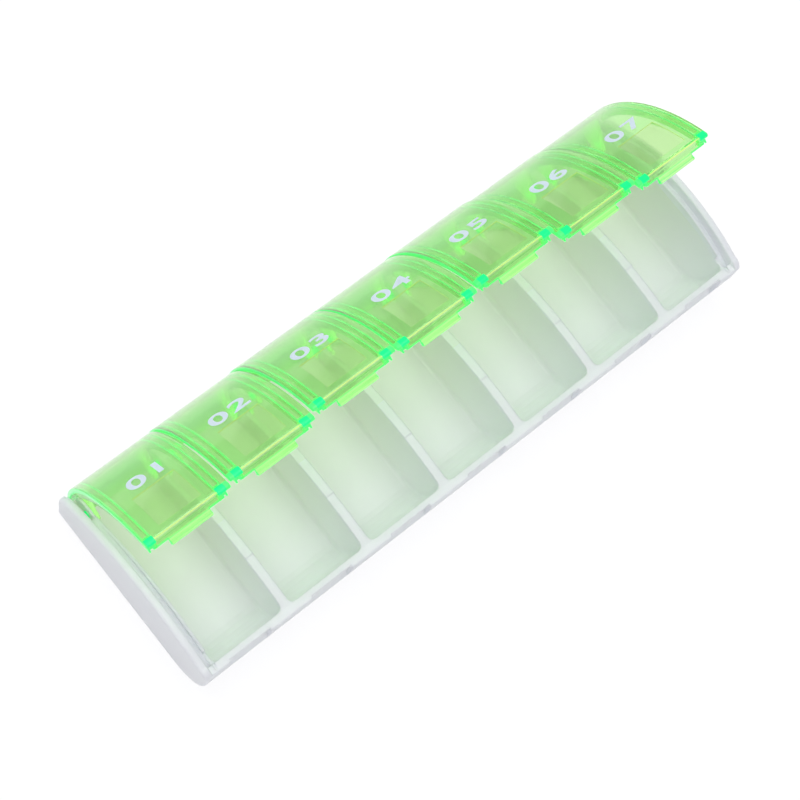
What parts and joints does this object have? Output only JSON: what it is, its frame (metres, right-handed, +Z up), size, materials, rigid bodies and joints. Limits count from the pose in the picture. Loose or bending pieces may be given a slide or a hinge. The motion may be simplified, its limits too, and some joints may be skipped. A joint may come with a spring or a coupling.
{
  "type": "weekly pill box",
  "caption": "Long moulded pill tray with a row of separate wells, each under its own curved snap lid hinged on stub pins at the back.",
  "frame": {"origin": "on the surface that the tray stands on, under the middle of its outline", "axes": "+X along the row of wells, -Y towards the finger side, +Z up"},
  "size_m": [0.149, 0.0486, 0.0492],
  "materials": {
    "white_polypropylene": "satin",
    "green_polystyrene": "gloss"
  },
  "bodies": {
    "tray": {"tray": "white_polypropylene"},
    "lid_1": {"lid_1": "green_polystyrene"},
    "lid_2": {"lid_2": "green_polystyrene"},
    "lid_3": {"lid_3": "green_polystyrene"},
    "lid_4": {"lid_4": "green_polystyrene"},
    "lid_5": {"lid_5": "green_polystyrene"},
    "lid_6": {"lid_6": "green_polystyrene"},
    "lid_7": {"lid_7": "green_polystyrene"}
  },
  "joints": [
    {"name": "lid_1_hinge", "type": "hinge", "parent": "tray", "child": "lid_1", "pos_m": [-0.063, 0.01825, 0.0105], "axis": [-1, 0, 0], "range_deg": [-52.4, 52.6]},
    {"name": "lid_2_hinge", "type": "hinge", "parent": "tray", "child": "lid_2", "pos_m": [-0.042, 0.01825, 0.0105], "axis": [-1, 0, 0], "range_deg": [-53.6, 51.4]},
    {"name": "lid_3_hinge", "type": "hinge", "parent": "tray", "child": "lid_3", "pos_m": [-0.021, 0.01825, 0.0105], "axis": [-1, 0, 0], "range_deg": [-55.5, 49.5]},
    {"name": "lid_4_hinge", "type": "hinge", "parent": "tray", "child": "lid_4", "pos_m": [0, 0.01825, 0.0105], "axis": [-1, 0, 0], "range_deg": [-55.1, 49.9]},
    {"name": "lid_5_hinge", "type": "hinge", "parent": "tray", "child": "lid_5", "pos_m": [0.021, 0.01825, 0.0105], "axis": [-1, 0, 0], "range_deg": [-56, 49]},
    {"name": "lid_6_hinge", "type": "hinge", "parent": "tray", "child": "lid_6", "pos_m": [0.042, 0.01825, 0.0105], "axis": [-1, 0, 0], "range_deg": [-53.1, 51.9]},
    {"name": "lid_7_hinge", "type": "hinge", "parent": "tray", "child": "lid_7", "pos_m": [0.063, 0.01825, 0.0105], "axis": [-1, 0, 0], "range_deg": [-51.6, 53.4]}
  ]
}
